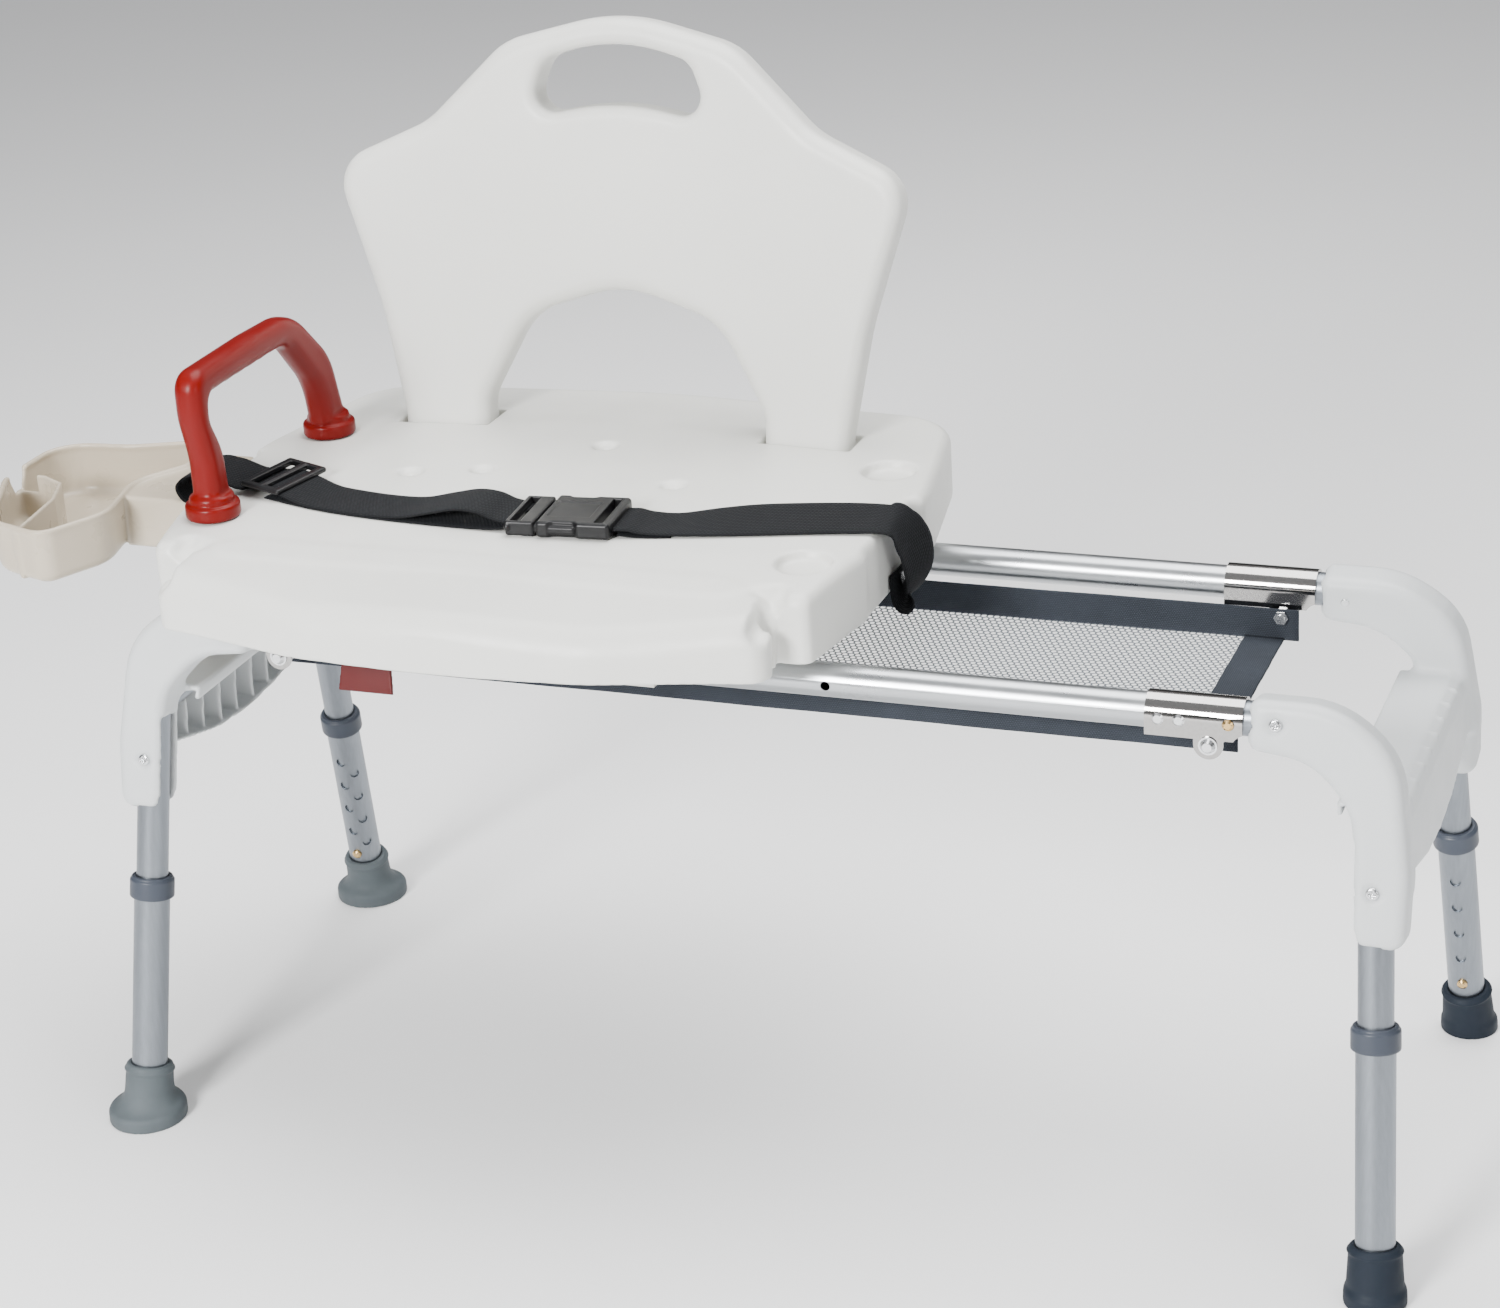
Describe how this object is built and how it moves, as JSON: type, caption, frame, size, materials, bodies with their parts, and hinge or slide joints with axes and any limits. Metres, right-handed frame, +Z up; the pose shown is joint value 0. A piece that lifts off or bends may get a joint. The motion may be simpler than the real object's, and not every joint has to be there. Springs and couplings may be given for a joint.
{
  "type": "bath transfer bench",
  "caption": "Folding bath transfer bench: a seat with backrest, belt, grab handle and shower tray slides along two rails on splayed, height-adjustable legs",
  "frame": {"origin": "centre of the whole box, at floor level under the four feet with the legs at their shortest", "axes": "+X along the rails towards the end that the seat slides to, +Y towards the backrest, +Z up"},
  "size_m": [1.1696, 0.4845, 0.8153],
  "materials": {
    "rail_aluminium": "bright anodised drawn tube",
    "chrome_plate": "polished chrome plate",
    "bright_zinc": "bright zinc",
    "spring_steel": "plain spring steel",
    "sling_net_mesh": "open hexagonal polyester net",
    "sling_tape": "woven slate tape",
    "seat_plastic": "fine-grained blow-moulded polyethylene, off-white",
    "panel_plastic": "satin injection-moulded plastic, light grey-white",
    "handle_plastic": "satin red",
    "tray_plastic": "satin warm cream",
    "block_plastic": "plain natural plastic",
    "lever_plastic": "satin dark red",
    "belt_webbing": "woven black webbing",
    "buckle_plastic": "fine-grained black plastic",
    "leg_aluminium": "satin anodised",
    "cast_lug": "die-cast",
    "brass_button": "plain brass",
    "collar_plastic": "satin slate grey",
    "foot_rubber_grey": "moulded light grey rubber",
    "foot_rubber_dark": "moulded slate rubber"
  },
  "bodies": {
    "frame": {"rails": "rail_aluminium", "hinge_brackets": "chrome_plate", "bracket_rivets": "bright_zinc", "pivot_bolts": "bright_zinc", "pivot_nuts": "bright_zinc", "sling_net": "sling_net_mesh", "sling_binding": "sling_tape"},
    "seat": {"seat_shell": "seat_plastic", "backrest": "seat_plastic", "backrest_screws": "bright_zinc", "grab_handle": "handle_plastic", "handle_screws": "bright_zinc", "shower_tray": "tray_plastic", "slide_blocks": "block_plastic", "slide_block_screws": "bright_zinc", "belt_left_strap": "belt_webbing", "belt_right_strap": "belt_webbing", "belt_slide_buckle": "buckle_plastic", "buckle_socket": "buckle_plastic", "buckle_plug": "buckle_plastic", "belt_rivets": "bright_zinc", "lock_housing": "block_plastic", "lever_pivot_pin": "bright_zinc"},
    "lock_lever": {"lock_lever": "lever_plastic"},
    "lock_pin": {"lock_pin_spring": "spring_steel"},
    "right_end": {"right_leg_tubes": "leg_aluminium", "right_hinge_lugs": "cast_lug", "right_cross_tube": "leg_aluminium", "right_end_panel": "panel_plastic", "right_panel_screws": "bright_zinc"},
    "left_end": {"left_leg_tubes": "leg_aluminium", "left_hinge_lugs": "cast_lug", "left_cross_tube": "leg_aluminium", "left_end_panel": "panel_plastic", "left_panel_screws": "bright_zinc"},
    "front_right_lower_leg": {"lower_leg_front_right": "leg_aluminium", "leg_collar_front_right": "collar_plastic", "foot_front_right": "foot_rubber_dark"},
    "rear_right_lower_leg": {"lower_leg_rear_right": "leg_aluminium", "leg_collar_rear_right": "collar_plastic", "foot_rear_right": "foot_rubber_dark"},
    "front_left_lower_leg": {"lower_leg_front_left": "leg_aluminium", "leg_collar_front_left": "collar_plastic", "foot_front_left": "foot_rubber_grey"},
    "rear_left_lower_leg": {"lower_leg_rear_left": "leg_aluminium", "leg_collar_rear_left": "collar_plastic", "foot_rear_left": "foot_rubber_grey"},
    "front_right_fold_button": {"fold_button_front_right": "brass_button"},
    "front_right_height_button": {"height_button_front_right": "brass_button"},
    "rear_right_fold_button": {"fold_button_rear_right": "brass_button"},
    "rear_right_height_button": {"height_button_rear_right": "brass_button"},
    "front_left_fold_button": {"fold_button_front_left": "brass_button"},
    "front_left_height_button": {"height_button_front_left": "brass_button"},
    "rear_left_fold_button": {"fold_button_rear_left": "brass_button"},
    "rear_left_height_button": {"height_button_rear_left": "brass_button"}
  },
  "joints": [
    {"name": "seat_slide", "type": "slide", "parent": "frame", "child": "seat", "axis": [1, 0, 0], "range_m": [0, 0.347]},
    {"name": "lock_lever_lift", "type": "hinge", "parent": "seat", "child": "lock_lever", "pos_m": [-0.1998, -0.1596, 0.42], "axis": [-1, 0, 0], "range_deg": [0, 16], "stiffness_Nm_per_rad": 0.5},
    {"name": "lock_pin_pull", "type": "slide", "parent": "seat", "child": "lock_pin", "axis": [0, -1, 0], "range_m": [0, 0.004], "deforming": ["lock_pin_spring"]},
    {"name": "right_end_fold", "type": "hinge", "parent": "frame", "child": "right_end", "pos_m": [0.429, -0.0076, 0.389], "axis": [0, 1, 0], "range_deg": [0, 90]},
    {"name": "left_end_fold", "type": "hinge", "parent": "frame", "child": "left_end", "pos_m": [-0.2986, -0.0076, 0.389], "axis": [0, -1, 0], "range_deg": [0, 72]},
    {"name": "front_right_height", "type": "slide", "parent": "right_end", "child": "front_right_lower_leg", "axis": [0.0471, -0.194, -0.9799], "range_m": [0, 0.1016]},
    {"name": "rear_right_height", "type": "slide", "parent": "right_end", "child": "rear_right_lower_leg", "axis": [0.0471, 0.194, -0.9799], "range_m": [0, 0.1016]},
    {"name": "front_left_height", "type": "slide", "parent": "left_end", "child": "front_left_lower_leg", "axis": [-0.0471, -0.194, -0.9799], "range_m": [0, 0.1016]},
    {"name": "rear_left_height", "type": "slide", "parent": "left_end", "child": "rear_left_lower_leg", "axis": [-0.0471, 0.194, -0.9799], "range_m": [0, 0.1016]},
    {"name": "front_right_fold_button_press", "type": "slide", "parent": "right_end", "child": "front_right_fold_button", "axis": [0, 1, 0], "range_m": [0, 0.005], "stiffness_N_per_m": 800, "deforming": ["fold_button_front_right"]},
    {"name": "front_right_height_button_press", "type": "slide", "parent": "right_end", "child": "front_right_height_button", "axis": [0, -0.981, 0.1942], "range_m": [0, 0.005], "stiffness_N_per_m": 800, "deforming": ["height_button_front_right"]},
    {"name": "rear_right_fold_button_press", "type": "slide", "parent": "right_end", "child": "rear_right_fold_button", "axis": [0, -1, 0], "range_m": [0, 0.005], "stiffness_N_per_m": 800, "deforming": ["fold_button_rear_right"]},
    {"name": "rear_right_height_button_press", "type": "slide", "parent": "right_end", "child": "rear_right_height_button", "axis": [0, 0.981, 0.1942], "range_m": [0, 0.005], "stiffness_N_per_m": 800, "deforming": ["height_button_rear_right"]},
    {"name": "front_left_fold_button_press", "type": "slide", "parent": "left_end", "child": "front_left_fold_button", "axis": [0, 1, 0], "range_m": [0, 0.005], "stiffness_N_per_m": 800, "deforming": ["fold_button_front_left"]},
    {"name": "front_left_height_button_press", "type": "slide", "parent": "left_end", "child": "front_left_height_button", "axis": [0, -0.981, 0.1942], "range_m": [0, 0.005], "stiffness_N_per_m": 800, "deforming": ["height_button_front_left"]},
    {"name": "rear_left_fold_button_press", "type": "slide", "parent": "left_end", "child": "rear_left_fold_button", "axis": [0, -1, 0], "range_m": [0, 0.005], "stiffness_N_per_m": 800, "deforming": ["fold_button_rear_left"]},
    {"name": "rear_left_height_button_press", "type": "slide", "parent": "left_end", "child": "rear_left_height_button", "axis": [0, 0.981, 0.1942], "range_m": [0, 0.005], "stiffness_N_per_m": 800, "deforming": ["height_button_rear_left"]}
  ],
  "couplings": [
    {"joint": "lock_pin_pull", "follows": "lock_lever_lift", "m_per_rad": 0.014}
  ]
}
